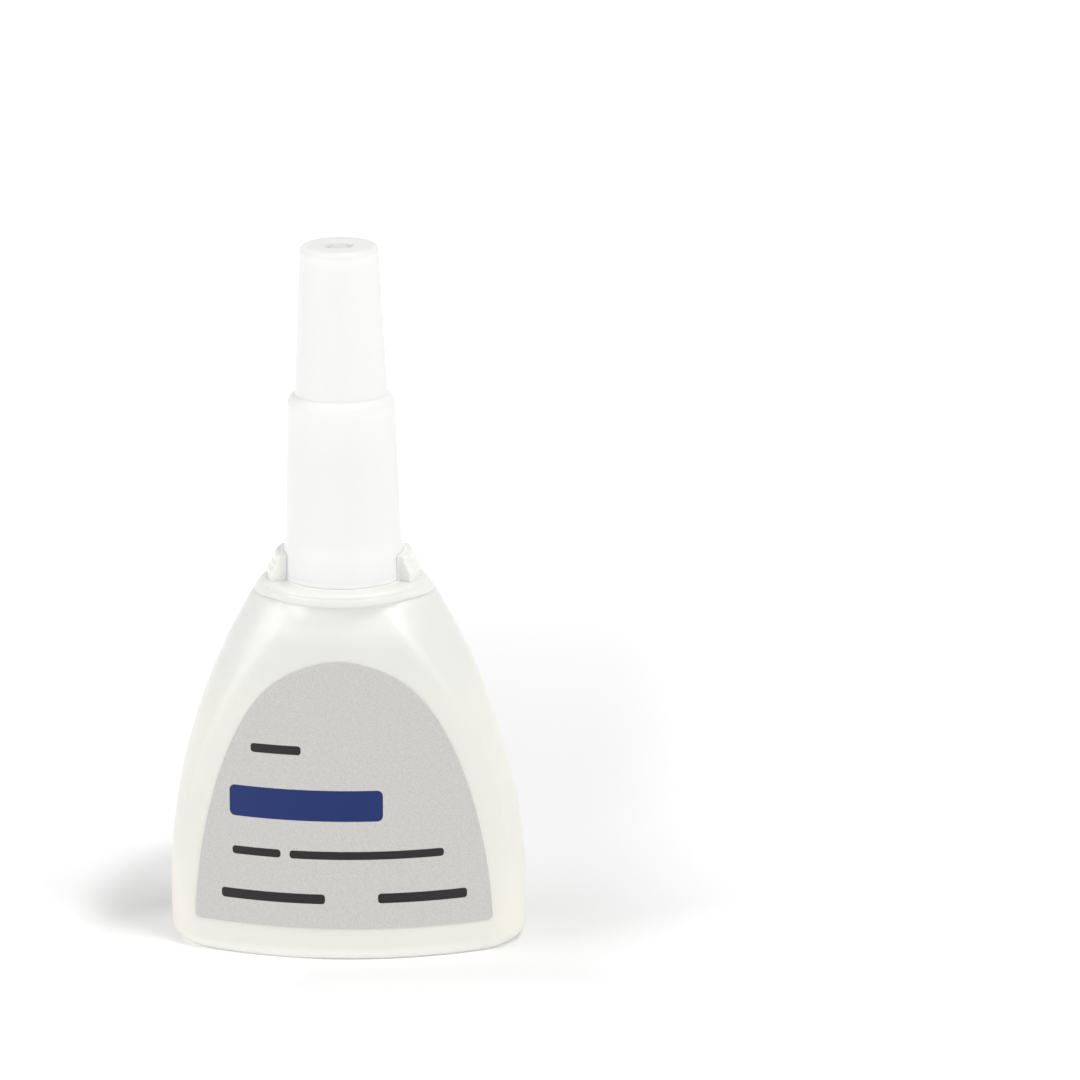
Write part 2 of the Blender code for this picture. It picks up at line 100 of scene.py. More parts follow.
def addNode(tree, kind, settings=None, **links):
    node = tree.nodes.new(kind)
    for name, value in (settings or {}).items():
        if name in node.inputs:
            node.inputs[name].default_value = value
        else:
            setattr(node, name, value)
    for name, source in links.items():
        tree.links.new(source, node.inputs[name])
    return node


# Object position in millimetres, and its x, y and z
def millimetres(tree):
    spot = addNode(tree, "ShaderNodeTexCoord").outputs["Object"]
    scaled = addNode(tree, "ShaderNodeVectorMath", {"operation": "SCALE", "Scale": 1 / mm}, Vector=spot)
    split = addNode(tree, "ShaderNodeSeparateXYZ", Vector=scaled.outputs[0])
    return scaled.outputs[0], split.outputs


def noise(tree, spot, size, detail=2.0, rough=0.5):
    settings = {"Scale": 1 / size, "Detail": detail, "Roughness": rough}
    return addNode(tree, "ShaderNodeTexNoise", settings, Vector=spot).outputs["Fac"]


def stretched(tree, spot, scale, centre=(0, 0, 0)):
    settings = {"vector_type": "TEXTURE", "Location": centre, "Scale": scale}
    return addNode(tree, "ShaderNodeMapping", settings, Vector=spot).outputs[0]


# Sets a socket to a number or a colour, or else links it
def feed(tree, socket, source):
    if isinstance(source, (int, float)):
        socket.default_value = source
    elif isinstance(source, tuple):
        socket.default_value = (*source, 1)
    else:
        tree.links.new(source, socket)


def maths(tree, operation, *values):
    node = addNode(tree, "ShaderNodeMath", {"operation": operation})
    for socket, value in zip(node.inputs, values):
        feed(tree, socket, value)
    return node.outputs[0]


# One operation over several values, such as their sum
def combined(tree, operation, first, *others):
    for other in others:
        first = maths(tree, operation, first, other)
    return first


# Spreads a noise's usual values from low to high
def spreadOver(tree, value, low, high):
    slope = (high - low) / noiseSpan
    return maths(tree, "ADD", maths(tree, "MULTIPLY", value, slope), low - noiseLow * slope)


# From start at low to end at high, and level beyond them
def ramp(tree, value, low, high, start=0.0, end=1.0, smooth=True):
    settings = {"From Min": low, "From Max": high, "To Min": start, "To Max": end}
    settings["interpolation_type"] = "SMOOTHSTEP" if smooth else "LINEAR"
    return addNode(tree, "ShaderNodeMapRange", settings, Value=value).outputs[0]


# Product of ramps: each limit is a value and the name of its ramp among the piece's values
def patch(tree, values, *limits):
    return combined(tree, "MULTIPLY", *[ramp(tree, value, *values[name]) for value, name in limits])


# A colour mix has its share at 0, its two colours at 6 and 7, and its result at 2
def blendColours(tree, share, first, second):
    node = addNode(tree, "ShaderNodeMix", {"data_type": "RGBA"})
    for place, source in ((0, share), (6, first), (7, second)):
        feed(tree, node.inputs[place], source)
    return node.outputs[2]


def distance(tree, spot):
    return addNode(tree, "ShaderNodeVectorMath", {"operation": "LENGTH"}, Vector=spot).outputs["Value"]


def axisDistance(tree, spot):
    return distance(tree, stretched(tree, spot, flatStretch))


def raised(tree, height, depth, under=None):
    node = addNode(tree, "ShaderNodeBump", {"Distance": depth * mm}, Height=height)
    if under is not None:
        tree.links.new(under, node.inputs["Normal"])
    return node.outputs[0]


def setShader(shader, values):
    for name, value in values.items():
        shader.inputs[name].default_value = value


def setPlastic(shader, weight, scale, radius, index):
    values = {"Subsurface Weight": weight, "Subsurface Scale": scale, "Subsurface Radius": radius}
    setShader(shader, {**values, "IOR": index})


def connect(tree, shader, sources):
    for name, source in sources.items():
        tree.links.new(source, shader.inputs[name])


# Mesh helpers
def polar(radius, angle):
    return radius * math.cos(angle), radius * math.sin(angle)


def circlePoints(radius, count):
    return [polar(radius, fullTurn * i / count) for i in range(count)]


# Rounds the corners of a profile; each point is (radius, height, how soft)
def softCorners(points, steps=4, closed=True):
    done = []
    for i, (r, z, soft) in enumerate(points):
        before, after = points[i - 1], points[(i + 1) % len(points)]
        ends = not closed and i in (0, len(points) - 1)
        if soft == 0 or ends:
            done.append((r, z))
            continue
        here = Vector((r, z))
        back, ahead = Vector(before[:2]) - here, Vector(after[:2]) - here
        reach = min(soft, back.length * mostSoft, ahead.length * mostSoft)
        start, end = here + back.normalized() * reach, here + ahead.normalized() * reach
        for k in range(steps + 1):
            t = k / steps
            spot = start * (1 - t) ** 2 + here * 2 * t * (1 - t) + end * t**2
            done.append((spot.x, spot.y))
    return done


# Points along a straight run, without its last one
def splitRun(start, end, count):
    return [tuple(a + (b - a) * i / count for a, b in zip(start, end)) for i in range(count)]


# Makes the object and shades it; look is one material or a list
def finish(name, bm, look, sharp=sharpEdge):
    bmesh.ops.recalc_face_normals(bm, faces=bm.faces)
    mesh = bpy.data.meshes.new(name)
    bm.to_mesh(mesh)
    bm.free()
    mesh.shade_smooth()
    mesh.set_sharp_from_angle(angle=math.radians(sharp))
    for one in look if isinstance(look, list) else [look]:
        mesh.materials.append(one)
    return addObject(name, mesh)


# Faces between one ring of points and the next
def skinRings(bm, rings):
    for lower, upper in zip(rings, rings[1:]):
        for i in range(len(lower)):
            bm.faces.new((lower[i - 1], lower[i], upper[i], upper[i - 1]))


# Skins rows of (points, height) and gives their rings of vertices
def skinRows(bm, rows):
    rings = [[bm.verts.new((x * mm, y * mm, z * mm)) for x, y in points] for points, z in rows]
    skinRings(bm, rings)
    return rings


# Turns a closed profile of (radius, height) about the neck's axis
def turned(name, profile, steps, look, reshape=None):
    bm = bmesh.new()
    loops = []
    for r, z in profile:
        if r < onAxis:
            loops.append([bm.verts.new((0, 0, z * mm))] * steps)
            continue
        loop = []
        for i in range(steps):
            angle = fullTurn * i / steps
            radius = reshape(angle, r, z) if reshape else r
            loop.append(bm.verts.new((*polar(radius * mm, angle), z * mm)))
        loops.append(loop)
    for j in range(len(loops)):
        lower, upper = loops[j - 1], loops[j]
        for i in range(steps):
            corners = list(dict.fromkeys([lower[i - 1], lower[i], upper[i], upper[i - 1]]))
            if len(corners) > 2:
                bm.faces.new(corners)
    return finish(name, bm, look)


# Height of a twin thread's ridge above its wall
def threadHeight(angle, z, spec):
    best = 0.0
    for start in range(spec["starts"]):
        turns = angle / fullTurn - start / spec["starts"]
        while turns < spec["turns"]:
            if turns > 0:
                off = abs(z - spec["from"] - spec["lead"] * turns)
                flank = (spec["footHalf"] - off) / (spec["footHalf"] - spec["crestHalf"])
                fade = min(turns, spec["turns"] - turns) / spec["runOut"]
                best = max(best, min(flank, 1) * min(fade, 1) ** 0.5)
            turns += 1
    return max(best, 0) * spec["height"]


# Flask
flask = {
    "halfWidth": 21.7,  # the widest half-width, at widestAt
    "widestAt": 5.4,
    "sideArc": 74.3,  # the bell's side is one arc
    "ovalDepth": 12.9,  # the oval's half-depth at the base, before the panels cut it
    "depthArc": 217.0,
    "panelDepth": 11.5,  # the panels' distance from the middle at the base
    "panelLean": 0.0727,
    "crown": 36.0,  # sideways bulge of the panels at the base
    "crownGrowth": -0.15,
    "creaseBlend": 0.30,
    "creaseLeast": 2.5,  # least half-width of the panels
    "shoulder": 43.8,
    "underRing": 0.48,  # from the shoulder down to where the bell ends
    "ringRadius": 9.9,
    "ringHeight": 1.6,
    "wall": 0.95,
    "sideFillet": 2.0,  # rounding of the base's edge at the sides
    "panelFillet": 1.0,
    "filletPower": 4,  # how close to the sides the larger one stays
    "land": 2.4,  # the band that the bottle stands on
    "pushUp": 0.7,  # height of the hollow inside it, and width of the hollow's slope
    "pushUpSlope": 1.6,
    "pinchHeight": 0.28,  # the ridge where the mould pinched the tube shut
    "pinchHalf": 0.45,
    "pinchLength": 13.0,
    "pinchFade": 6,  # power with which the ridge falls off to its ends
    "seam": 0.03,  # height of the parting line
    "seamHalf": 0.26,
    "neckRadius": 5.0,
    "neckHeight": 10.5,
    "neckRoot": 0.6,
    "lipRun": 0.42,  # plain run from the thread's end to the mouth
    "lipOutside": 0.4,  # rounding of the mouth's outer edge, as far as lipRun allows, and of its inner one
    "lipInside": 0.25,
    "bore": 3.9,
    "boreDepth": 4.0,
    "roofRise": 1.1,
    "heel": 1.4,  # rounding of the inside's lower edge
    # the ring's edge with its groove, each point how far below the ring's top and how far in
    "ringProfile": (
        (1.72, 0.30), (1.60, 0.10), (1.48, 0.02), (1.36, 0.0), (0.80, 0.0), (0.72, 0.03), (0.64, 0.08),
        (0.56, 0.10), (0.48, 0.08), (0.40, 0.08), (0.30, 0.12), (0.18, 0.22), (0.08, 0.36), (0.02, 0.50),
        (0.0, 0.70),
    ),
    # how fine the mesh is
    "sideSteps": 20,
    "panelSteps": 22,
    "hollowRows": 8,
    "hollowShares": (0.75, 0.5, 0.3, 0.16, 0.11, 0.08, 0.05, 0.025),  # across the hollow's half-depth
    "filletRows": 12,
    "bodyRows": 60,
    "rootRows": 4,
    "threadRow": 0.12,
    "threadEnd": 0.5,  # below the mouth
    "insideRows": 24,
    "heelRows": 5,
    # colours: where there are two, a noise runs between them
    "cloudSize": 9.0,
    "dryColours": ((0.734, 0.742, 0.700), (0.756, 0.761, 0.722)),
    "wetColours": ((0.760, 0.755, 0.698), (0.781, 0.776, 0.722)),
    "paintedLightColour": (0.930, 0.928, 0.890),  # painted light: a glow at the foot, the panel's top lit against the ring's shadow, two painted highlights, and a lighter ring and lugs
    "cornerGlowColour": (0.900, 0.870, 0.790),
    "besideCapLightColour": (0.970, 0.970, 0.955),
    # where they lie, each from one place to another; two more numbers are its shares there, else 0 and 1
    "wetRise": (36.0, 30.0),  # heights above the floor
    "footGlowRise": (1.8, 0.4, 0.0, 0.6),
    "cornerGlowRise": (17.0, 3.0, 0.0, 0.6),
    "panelTopLightRise": (-5.8, -2.8, 0.0, 0.42),  # heights above the shoulder
    "glintRise": (-3.4, -1.0),
    "shoulderEnd": (0.0, -0.3),
    "ringRise": (-0.3, 0.1, 0.0, 0.17),
    "lugRise": (1.6, 1.9, 0.0, 0.17),
    "besideCapLightRise": (1.2, 1.5),
    "besideCapLightInside": (6.6, 6.9),  # distances from the axis
    "besideCapLightOutside": (7.7, 7.45),
    "cornerGlowReach": (16.5, 21.5),  # distances to both sides
    "panelTopLightReach": (11.0, 6.0),
    "glintMiddle": 0.9,  # two painted highlights under the ring, one to each side of this
    "glintInside": (3.0, 5.8),
    "glintOutside": (8.6, 5.8),
    "glintFront": (0.0, -5.0),  # at the front only
    "glintShares": (-3.0, 3.0, 1.0, 0.65),  # weaker at the right
    # the plastic's skin
    "roughness": (0.30, 0.33),
    "grainSize": 0.55,
    "grainHeight": 0.008,
    "drawnStretch": (1.6, 1.6, 14.0),  # faint upright lines from the mould's blowing
    "drawnHeight": 0.012,
}
neckThread = {
    "from": 46.9,
    "lead": 3.0,
    "starts": 2,
    "turns": 2.1,
    "height": 0.60,
    "footHalf": 0.36,
    "crestHalf": 0.13,
    "runOut": 0.10,
}


def bellHalfWidth(z):
    rise = z - flask["widestAt"]
    return flask["halfWidth"] - flask["sideArc"] + math.sqrt(flask["sideArc"] ** 2 - rise**2)


def ovalHalfDepth(z):
    return flask["ovalDepth"] - flask["depthArc"] + math.sqrt(flask["depthArc"] ** 2 - z**2)


def panelFace(x, z):
    crown = flask["crown"] + flask["crownGrowth"] * z
    return flask["panelDepth"] - flask["panelLean"] * z - x * x / (2 * crown)


# Half-width at which the panel meets the oval, found by halving
def creaseAt(z):
    a, b = bellHalfWidth(z), ovalHalfDepth(z)
    low, high = 0.0, a
    for _ in range(halvings):
        middle = (low + high) / 2
        if b * math.sqrt(1 - (middle / a) ** 2) > panelFace(middle, z):
            low = middle
        else:
            high = middle
    return max(low, flask["creaseLeast"])


# Distance from the axis to the flask's side: oval and panel, blended at the crease
def outlineRadius(angle, z):
    a, b = bellHalfWidth(z), ovalHalfDepth(z)
    c, s = abs(math.cos(angle)), abs(math.sin(angle))
    oval = a * b / math.hypot(b * c, a * s)
    depth = panelFace(0, z)
    crown = flask["crown"] + flask["crownGrowth"] * z
    panel = 2 * depth / (s + math.sqrt(s * s + 2 * depth * c * c / crown))
    blend = flask["creaseBlend"]
    near = max(blend - abs(oval - panel), 0) / blend
    return min(oval, panel) - near * near * blend / 4


# Columns round the flask: two beside the parting line, then side, crease and panel
def outlineAngles(z):
    crease = creaseAt(z)
    a, b = bellHalfWidth(z), ovalHalfDepth(z)
    turn = math.acos(min(crease / a, 1))
    quarter = [0, flask["seamHalf"] / 2 / a, flask["seamHalf"] / a]
    for i in range(1, flask["sideSteps"]):
        t = turn * i / flask["sideSteps"]
        quarter.append(math.atan2(b * math.sin(t), a * math.cos(t)))
    for i in range(flask["panelSteps"]):
        x = crease * (1 - i / flask["panelSteps"])
        quarter.append(math.atan2(panelFace(x, z), x))
    half = quarter + [math.pi / 2] + [math.pi - angle for angle in reversed(quarter[1:])]
    return half + [angle + math.pi for angle in half]


# How far a column lies below the crest of the parting line
def seamDrop(column, count):
    away = min(column % (count // 2), count // 2 - column % (count // 2))
    return flask["seam"] * min(away / 2, 1)


# The outline at height z, drawn in by inset, which is one length or one for each column
def outline(z, inset=0.0, outside=True):
    angles = outlineAngles(z)
    insets = inset if isinstance(inset, list) else [inset] * len(angles)
    points = [polar(outlineRadius(angle, z), angle) for angle in angles]
    moved = []
    for i, (x, y) in enumerate(points):
        x0, y0 = points[i - 1]
        x1, y1 = points[(i + 1) % len(points)]
        length = math.hypot(x1 - x0, y1 - y0)
        off = insets[i] + (seamDrop(i, len(points)) if outside else 0)
        moved.append((x - off * (y1 - y0) / length, y + off * (x1 - x0) / length))
    return moved


# How far the rounding of the base's edge draws in each column
def filletInsets(z):
    insets = []
    for angle in outlineAngles(z):
        across = outlineRadius(angle, z) * abs(math.cos(angle)) / bellHalfWidth(z)
        growth = flask["sideFillet"] - flask["panelFillet"]
        radius = flask["panelFillet"] + growth * across ** flask["filletPower"]
        below = max(radius - z, 0)
        insets.append(radius - math.sqrt(radius**2 - below**2))
    return insets


# The neck ring, or the bell where it reaches further out
def ringOutline(z, inset=0.0):
    points = []
    angles = outlineAngles(flask["shoulder"])
    for i, angle in enumerate(angles):
        off = inset + seamDrop(i, len(angles))
        radius = max(outlineRadius(angle, z), flask["ringRadius"]) - off
        points.append(polar(radius, angle))
    return points


def drawnIn(inset):
    across = 1 - inset / bellHalfWidth(0)
    along = 1 - inset / panelFace(0, 0)
    return [(x * across, y * along) for x, y in outline(0)]


# Rows of a quarter round: (inset, rise) from the flat to the upright
def easeRound(radius, steps):
    turns = [math.pi / 2 * i / steps for i in range(steps + 1)]
    return [(radius * (1 - math.sin(t)), radius * (1 - math.cos(t))) for t in turns]


# Rows up the outside, over the mouth and down the inside to the floor
def flaskRows():
    rows = []
    landEdge = flask["sideFillet"] + flask["land"]
    for i in range(flask["hollowRows"] + 1):
        share = i / flask["hollowRows"]
        rise = flask["pushUp"] * (1 - share * share * (3 - 2 * share))
        rows.append((drawnIn(landEdge + flask["pushUpSlope"] * (1 - share)), rise))
    fillet = easeRound(flask["sideFillet"], flask["filletRows"])
    rows += [(outline(z, filletInsets(z)), z) for _, z in fillet]
    underRing = flask["shoulder"] - flask["underRing"]
    for i in range(1, flask["bodyRows"] + 1):
        z = flask["sideFillet"] + (underRing - flask["sideFillet"]) * i / flask["bodyRows"]
        rows.append((outline(z), z))
    top = flask["shoulder"] + flask["ringHeight"]
    for down, inset in flask["ringProfile"]:
        rows.append((ringOutline(top - down, inset), top - down))

    count = len(rows[0][0])
    root = flask["neckRoot"]
    for i in range(flask["rootRows"] + 1):
        turn = math.pi / 2 * i / flask["rootRows"]
        radius = flask["neckRadius"] + root * (1 - math.sin(turn))
        rows.append((circlePoints(radius, count), top + root * (1 - math.cos(turn))))
    mouth = top + flask["neckHeight"]
    z = top + root
    while z < mouth - flask["threadEnd"]:
        z += flask["threadRow"]
        ring = []
        for i in range(count):
            angle = fullTurn * i / count
            radius = flask["neckRadius"] + threadHeight(angle, z, neckThread)
            ring.append(polar(radius, angle))
        rows.append((ring, z))
    lip = [
        (flask["neckRadius"], mouth - flask["lipRun"], 0),
        (flask["neckRadius"], mouth, flask["lipOutside"]),
        (flask["bore"], mouth, flask["lipInside"]),
        (flask["bore"], mouth - flask["boreDepth"], 0),
    ]
    for radius, z in softCorners(lip, closed=False)[1:]:
        rows.append((circlePoints(radius, count), z))
    eaves = flask["shoulder"] - flask["wall"]
    rows.append((circlePoints(flask["bore"], count), eaves + flask["roofRise"]))
    wallTop = eaves - flask["roofRise"]
    rows.append((outline(wallTop, flask["wall"] + flask["roofRise"], False), eaves))
    floor = flask["pushUp"] + flask["wall"]
    heelTop = floor + flask["heel"]
    for i in range(flask["insideRows"] + 1):
        z = wallTop + (heelTop - wallTop) * i / flask["insideRows"]
        rows.append((outline(z, flask["wall"], False), z))
    for inset, rise in list(reversed(easeRound(flask["heel"], flask["heelRows"])))[1:]:
        rows.append((outline(floor + rise, flask["wall"] + inset, False), floor + rise))
    return rows


# Floor of the hollow under the base, with the pinch-off ridge along its middle
def hollowFloor(bm, loop):
    half = len(loop) // 2
    spread = flask["hollowShares"]
    strings = []
    for i in range(1, half):
        front, back = loop[len(loop) - i], loop[i]
        x, depth = back.co.x, back.co.y
        fade = max(1 - (x / (flask["pinchLength"] * mm)) ** flask["pinchFade"], 0)
        string = [front]
        for share in [-s for s in spread] + [0.0] + list(reversed(spread)):
            y = depth * share
            near = max(1 - (y / (flask["pinchHalf"] * mm)) ** 2, 0)
            drop = flask["pinchHeight"] * mm * near * fade
            string.append(bm.verts.new((x, y, back.co.z - drop)))
        strings.append(string + [back])
    for one, other in zip(strings, strings[1:]):
        for k in range(len(one) - 1):
            bm.faces.new((one[k], one[k + 1], other[k + 1], other[k]))
    for tip, string in ((loop[0], strings[0]), (loop[half], strings[-1])):
        for k in range(len(string) - 1):
            bm.faces.new((tip, string[k], string[k + 1]))


# Lugs on the ring
lugs = {
    "inner": 7.335,
    "lean": 0.036,  # the inner wall keeps beside the cap
    "foot": 1.885,  # width at its foot, and at its top
    "top": 1.055,
    "height": 3.1,
    "step": 1.2,
    "halfAngle": 24.0,  # degrees
    "edge": 0.3,  # rounding of its ends
    "stepSoft": 0.25,  # rounding of its steps, and of its top outside and inside
    "topSoft": 0.35,
    "innerSoft": 0.05,
    "sink": 0.5,  # into the ring
    "steps": 40,
}


# One stepped lug on the ring, beside the cap's rim
def makeLug(turn):
    inner, foot, top = lugs["inner"], lugs["inner"] + lugs["foot"], lugs["inner"] + lugs["top"]
    low = flask["shoulder"] + flask["ringHeight"]
    high = low + lugs["height"]
    step, soft = (foot - top) / 2, lugs["stepSoft"]
    profile = softCorners([
        (inner, low - lugs["sink"], 0),
        (foot, low - lugs["sink"], 0),
        (foot, low + lugs["step"], soft),
        (foot - step, low + lugs["step"] + step, soft),
        (foot - step, high - lugs["step"], soft),
        (top, high - lugs["step"] + step, soft),
        (top, high, lugs["topSoft"]),
        (inner - lugs["lean"] * lugs["height"], high, lugs["innerSoft"]),
    ], steps=3)
    bm = bmesh.new()
    slices = []
    for i in range(lugs["steps"] + 1):
        share = math.sin(math.pi / 2 * (2 * i / lugs["steps"] - 1))
        angle = turn + math.radians(lugs["halfAngle"]) * share
        fromEnd = (1 - abs(share)) * math.radians(lugs["halfAngle"]) * foot
        short = max(lugs["edge"] - fromEnd, 0)
        ease = lugs["edge"] - math.sqrt(lugs["edge"] ** 2 - short**2)
        ring = []
        for r, z in profile:
            x, y = polar(r - ease if r > inner + lugs["edge"] else r, angle)
            ring.append(bm.verts.new((x * mm, y * mm, z * mm)))
        slices.append(ring)
    skinRings(bm, slices)
    bm.faces.new(slices[0])
    bm.faces.new(list(reversed(slices[-1])))
    return finish("lug", bm, [])


def makeFlask(look):
    bm = bmesh.new()
    loops = skinRows(bm, flaskRows())
    bm.faces.new(loops[-1])
    hollowFloor(bm, loops[0])
    body = finish("milkyFlask", bm, look)
    blocks = [makeLug(turn) for turn in (0, math.pi)]
    for block in blocks:
        join = body.modifiers.new("join", "BOOLEAN")
        join.operation = "UNION"
        join.solver = "EXACT"
        join.object = block
    bpy.context.view_layer.update()
    joined = body.evaluated_get(bpy.context.evaluated_depsgraph_get())
    solid = bpy.data.meshes.new_from_object(joined)
    body.modifiers.clear()
    body.data = solid
    for block in blocks:
        bpy.data.objects.remove(block)
    solid.shade_smooth()
    solid.set_sharp_from_angle(angle=math.radians(sharpEdge))
    return body


def milkyPlastic():
    made, tree, shader = newMaterial("milkyPolyethylene")
    spot, axes = millimetres(tree)
    x, y, z = axes["X"], axes["Y"], axes["Z"]
    across = maths(tree, "ABSOLUTE", x)
    aside = maths(tree, "ABSOLUTE", maths(tree, "SUBTRACT", x, flask["glintMiddle"]))
    up = maths(tree, "SUBTRACT", z, flask["shoulder"])
    away = axisDistance(tree, spot)
    cloud = noise(tree, spot, flask["cloudSize"], detail=3.0, rough=0.55)
    dry = blendColours(tree, cloud, *flask["dryColours"])
    wet = blendColours(tree, cloud, *flask["wetColours"])
    colour = blendColours(tree, patch(tree, flask, (z, "wetRise")), dry, wet)

    # painted light: the flask's foot lighter, as if lit through the base
    foot = patch(tree, flask, (z, "footGlowRise"))
    # painted light: the panel's top lighter, against the shadow under the ring
    panelTopLight = patch(tree, flask, (up, "panelTopLightRise"), (across, "panelTopLightReach"))
    # painted highlights: two pale spots under the ring, weaker at the right
    glintRange = (up, "glintRise"), (aside, "glintInside"), (aside, "glintOutside")
    glints = patch(tree, flask, *glintRange, (y, "glintFront"), (x, "glintShares"))
    shoulder = maths(tree, "MAXIMUM", panelTopLight, glints)
    shoulder = maths(tree, "MULTIPLY", shoulder, patch(tree, flask, (up, "shoulderEnd")))
    # painted light: the ring and lugs lighter
    ring = maths(tree, "ADD", patch(tree, flask, (up, "ringRise")), patch(tree, flask, (up, "lugRise")))
    # painted light from the foot, ring and shoulder masks, mixed in as one pale colour
    paintedLight = combined(tree, "MAXIMUM", foot, ring, shoulder)
    colour = blendColours(tree, paintedLight, colour, flask["paintedLightColour"])
    # painted light: the base's side corners lighter and warmer, as if lit through the liquid
    corner = patch(tree, flask, (across, "cornerGlowReach"), (z, "cornerGlowRise"))
    colour = blendColours(tree, corner, colour, flask["cornerGlowColour"])
    # painted light: the ring's top lighter beside the cap, against the shade in the gap under its rim
    besideCapLightRange = (away, "besideCapLightInside"), (away, "besideCapLightOutside"), (up, "besideCapLightRise")
    colour = blendColours(tree, patch(tree, flask, *besideCapLightRange), colour, flask["besideCapLightColour"])

    rough = spreadOver(tree, cloud, *flask["roughness"])
    skin = raised(tree, noise(tree, spot, flask["grainSize"], rough=0.6), flask["grainHeight"])
    drawn = noise(tree, stretched(tree, spot, flask["drawnStretch"]), 1.0)
    skin = raised(tree, drawn, flask["drawnHeight"], skin)
    connect(tree, shader, {"Base Color": colour, "Roughness": rough, "Normal": skin})
    setPlastic(shader, weight=0.35, scale=0.0010, radius=(1.0, 0.96, 0.85), index=1.52)
    return made


flaskPiece = makeFlask(milkyPlastic())
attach(flaskPiece, "bottle")
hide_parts("flask")
print("flask made,", len(flaskPiece.data.polygons), "faces")


# Liquid
liquid = {
    "level": 35.4,
    "gap": 0.03,  # clear of the flask's inside
    "meniscus": 0.7,
    "brimWidth": 2.4,  # over which the meniscus falls
    "rows": 26,
    "brimRows": 6,
    "colours": ((0.97, 0.96, 0.90), (0.99, 0.985, 0.95)),
    "hazeSize": 6.0,
    "roughness": (0.02, 0.05),
}


def makeLiquid(look):
    floor = flask["pushUp"] + flask["wall"] + liquid["gap"]
    inset = flask["wall"] + liquid["gap"]
    heelTop = floor + flask["heel"]
    brim = liquid["level"]
    rows = []
    for extra, rise in easeRound(flask["heel"], flask["heelRows"]):
        rows.append((outline(floor + rise, inset + extra, False), floor + rise))
    for i in range(1, liquid["rows"] + 1):
        z = heelTop + (brim - heelTop) * i / liquid["rows"]
        rows.append((outline(z, inset, False), z))
    for i in range(1, liquid["brimRows"] + 1):
        share = i / liquid["brimRows"]
        sink = liquid["meniscus"] * (1 - (1 - share) ** 2)
        rows.append((outline(brim, inset + liquid["brimWidth"] * share, False), brim - sink))
    bm = bmesh.new()
    loops = skinRows(bm, rows)
    bm.faces.new(loops[0])
    bm.faces.new(loops[-1])
    return finish("clearAdhesive", bm, look)


def clearLiquid():
    made, tree, shader = newMaterial("clearAdhesive")
    haze = noise(tree, millimetres(tree)[0], liquid["hazeSize"])
    colour = blendColours(tree, haze, *liquid["colours"])
    rough = spreadOver(tree, haze, *liquid["roughness"])
    connect(tree, shader, {"Base Color": colour, "Roughness": rough})
    setShader(shader, {"Transmission Weight": 1.0, "IOR": 1.45})
    return made


liquidPiece = makeLiquid(clearLiquid())
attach(liquidPiece, "bottle")
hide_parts("adhesive_fill")
print("liquid made")


# Nozzle
nozzle = {
    "flangeAt": 56.15,
    "flangeRadius": 4.8,
    "flangeHeight": 1.2,
    "plugRadius": 3.65,
    "plugLength": 6.5,
    "plugLead": 1.0,  # tapered end that starts it into the neck
    "plugChamfer": 0.25,
    "ribs": 2,
    "ribHeight": 0.22,
    "ribFootHalf": 0.44,
    "ribCrestHalf": 0.11,
    "spoutFoot": 3.4,
    "spoutRootWidth": 0.5,
    "spoutRootHeight": 0.35,
    "spoutShoulder": 1.6,
    "spoutNeck": 2.6,
    "tipRadius": 1.30,
    "tipAt": 81.43,
    "tipLength": 1.4,
    "tipTaper": 0.03,
    "wall": 0.8,
    "web": 3.0,  # from the flange down to where the bore narrows
    "orifice": 0.62,
    "orificeLength": 5.0,
    "steps": 96,
    "colours": ((0.80, 0.81, 0.78), (0.83, 0.835, 0.81)),
    "cloudSize": 3.0,
    "roughness": (0.32, 0.44),
    "drawnStretch": (0.25, 0.25, 2.0),
    "drawnHeight": 0.006,
}


# Up the plug's outside, over the flange to the tip, and down the bore
def makeNozzle(look):
    n = nozzle
    core = n["plugRadius"] - n["ribHeight"]
    low = n["flangeAt"] - n["plugLength"]
    flangeTop = n["flangeAt"] + n["flangeHeight"]
    shoulder = flangeTop + n["spoutShoulder"]
    pitch = (n["plugLength"] - n["plugLead"]) / (n["ribs"] + 1)
    profile = [
        (core - n["wall"], low, 0.15),
        (core - n["plugChamfer"], low, 0.15),
        (core, low + n["plugLead"], 0.2),
    ]
    for i in range(1, n["ribs"] + 1):
        middle = low + n["plugLead"] + pitch * i
        profile += [
            (core, middle - n["ribFootHalf"], 0.08),
            (n["plugRadius"], middle - n["ribCrestHalf"], 0.1),
            (n["plugRadius"], middle + n["ribCrestHalf"], 0.1),
            (core, middle + n["ribFootHalf"], 0.08),
        ]
    profile += [
        (core, n["flangeAt"], 0.1),
        (n["flangeRadius"], n["flangeAt"], 0.2),
        (n["flangeRadius"], flangeTop, 0.35),
        (n["spoutFoot"] + n["spoutRootWidth"], flangeTop, 0.3),
        (n["spoutFoot"], flangeTop + n["spoutRootHeight"], 0.3),
        (n["spoutNeck"], shoulder, 0.8),
        (n["tipRadius"] + n["tipTaper"], n["tipAt"] - n["tipLength"], 0.2),
        (n["tipRadius"], n["tipAt"], 0.3),
        (n["orifice"], n["tipAt"], 0.15),
        (n["orifice"], n["tipAt"] - n["orificeLength"], 0.4),
        (n["spoutNeck"] - n["wall"], shoulder, 1.0),
        (core - n["wall"], n["flangeAt"] - n["web"], 1.0),
    ]
    return turned("dropperNozzle", softCorners(profile), n["steps"], look)


